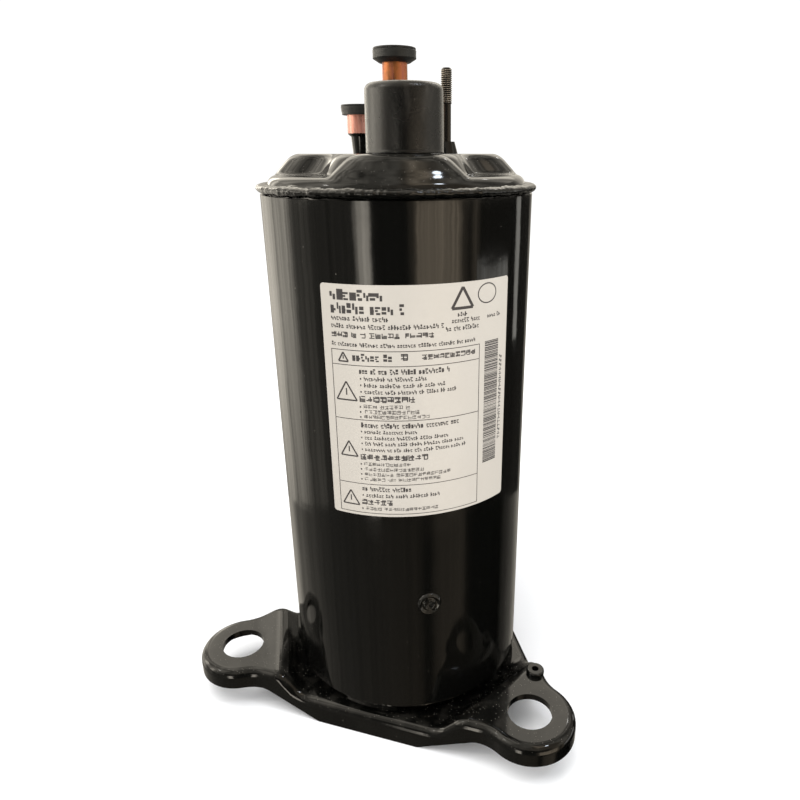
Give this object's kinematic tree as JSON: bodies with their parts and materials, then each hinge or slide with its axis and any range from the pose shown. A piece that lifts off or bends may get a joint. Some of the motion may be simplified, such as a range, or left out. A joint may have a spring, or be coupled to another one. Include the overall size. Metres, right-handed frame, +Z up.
{
  "type": "rotary refrigeration compressor",
  "caption": "Upright hermetic rotary compressor: black steel shell on a three-eared foot plate, rolling-piston pump and motor inside, rear accumulator, capped copper ports.",
  "frame": {"origin": "centre of the three foot mounting holes, in the plane of the ears' undersides", "axes": "+Z up along the shell, crankshaft and discharge pipe; +Y towards one mounting ear, with the accumulator behind the shell between +Y and -X"},
  "size_m": [0.1882, 0.1685, 0.2941],
  "materials": {
    "black_paint": "gloss black oven paint over steel, with fine dust specks",
    "copper": "bare drawn copper, lightly tarnished",
    "cap_rubber": "matte black moulded rubber",
    "cover_plastic": "fine-grained matte black moulding",
    "black_steel": "oily black threaded steel",
    "label_film": "satin cream printed film",
    "zinc_steel": "zinc-plated sheet and wire",
    "seal_glass": "dark green sealing glass",
    "pin_plating": "nickel-plated pins",
    "connector_plastic": "natural moulded thermoplastic",
    "lead_insulation": "braided polyester sleeve",
    "pump_iron": "machined grey iron",
    "ground_steel": "ground hardened steel",
    "dark_bolts": "black-oxide steel",
    "core_steel": "stacked electrical steel laminations",
    "winding_copper": "enamelled copper wire",
    "tie_cord": "waxed polyester lacing cord",
    "cage_aluminium": "die-cast aluminium",
    "weight_brass": "turned brass"
  },
  "bodies": {
    "housing": {"accumulator_baffle": "zinc_steel", "accumulator_band": "zinc_steel", "accumulator_body": "black_paint", "accumulator_bracket": "black_paint", "accumulator_inlet_pipe": "copper", "accumulator_screen": "zinc_steel", "band_nuts": "zinc_steel", "band_screws": "zinc_steel", "bottom_cap": "black_paint", "bottom_weld_bead": "black_paint", "cover_stud": "black_steel", "cylinder_block": "pump_iron", "discharge_braze": "black_paint", "discharge_muffler": "zinc_steel", "discharge_pipe": "copper", "foot_earth_boss": "black_paint", "foot_plate": "black_paint", "foot_welds": "black_paint", "lead_connector": "connector_plastic", "lead_wires": "lead_insulation", "main_bearing": "pump_iron", "main_bearing_bolts": "dark_bolts", "nameplate_label": "label_film", "plug_welds": "black_paint", "shell_body": "black_paint", "stator_core": "core_steel", "stator_winding": "winding_copper", "stud_boss": "black_paint", "sub_bearing": "pump_iron", "sub_bearing_bolts": "dark_bolts", "suction_elbow": "black_paint", "suction_sleeve": "black_paint", "terminal_body": "zinc_steel", "terminal_glass": "seal_glass", "terminal_pins": "pin_plating", "top_cap": "black_paint", "top_weld_bead": "black_paint", "valve_rivet": "zinc_steel", "valve_stop": "ground_steel", "vane_spring": "ground_steel", "winding_ties": "tie_cord"},
    "crank": {"crankshaft": "ground_steel", "rotor_core": "core_steel", "rotor_cage": "cage_aluminium", "rotor_rivets": "zinc_steel", "lower_balance_weight": "weight_brass", "upper_balance_weight": "weight_brass", "oil_separator": "zinc_steel", "oil_paddle": "zinc_steel"},
    "roller": {"roller": "ground_steel"},
    "vane": {"vane": "ground_steel"},
    "valve": {"discharge_valve": "ground_steel"},
    "discharge_cap": {"discharge_cap": "cap_rubber"},
    "suction_cap": {"suction_cap": "cap_rubber"},
    "terminal_cover": {"terminal_cover": "cover_plastic"}
  },
  "joints": [
    {"name": "crank_spin", "type": "hinge", "parent": "housing", "child": "crank", "pos_m": [0, 0, 0.055], "axis": [0, 0, 1], "continuous": true},
    {"name": "roller_spin", "type": "hinge", "parent": "crank", "child": "roller", "pos_m": [0.00119, -0.00444, 0.055], "axis": [0, 0, 1], "continuous": true},
    {"name": "vane_slide", "type": "slide", "parent": "housing", "child": "vane", "axis": [-0.866, 0.5, 0], "range_m": [-0.0078, 0]},
    {"name": "valve_lift", "type": "hinge", "parent": "housing", "child": "valve", "pos_m": [-0.0217, -0.0182, 0.0744], "axis": [1, 0, 0], "range_deg": [0, 6], "stiffness_Nm_per_rad": 0.05},
    {"name": "discharge_cap_pull", "type": "slide", "parent": "housing", "child": "discharge_cap", "axis": [0, 0, 1], "range_m": [0, 0.04]},
    {"name": "suction_cap_pull", "type": "slide", "parent": "housing", "child": "suction_cap", "axis": [0, 0, 1], "range_m": [0, 0.04]},
    {"name": "terminal_cover_pull", "type": "slide", "parent": "housing", "child": "terminal_cover", "axis": [0, 0, 1], "range_m": [0, 0.045]}
  ]
}
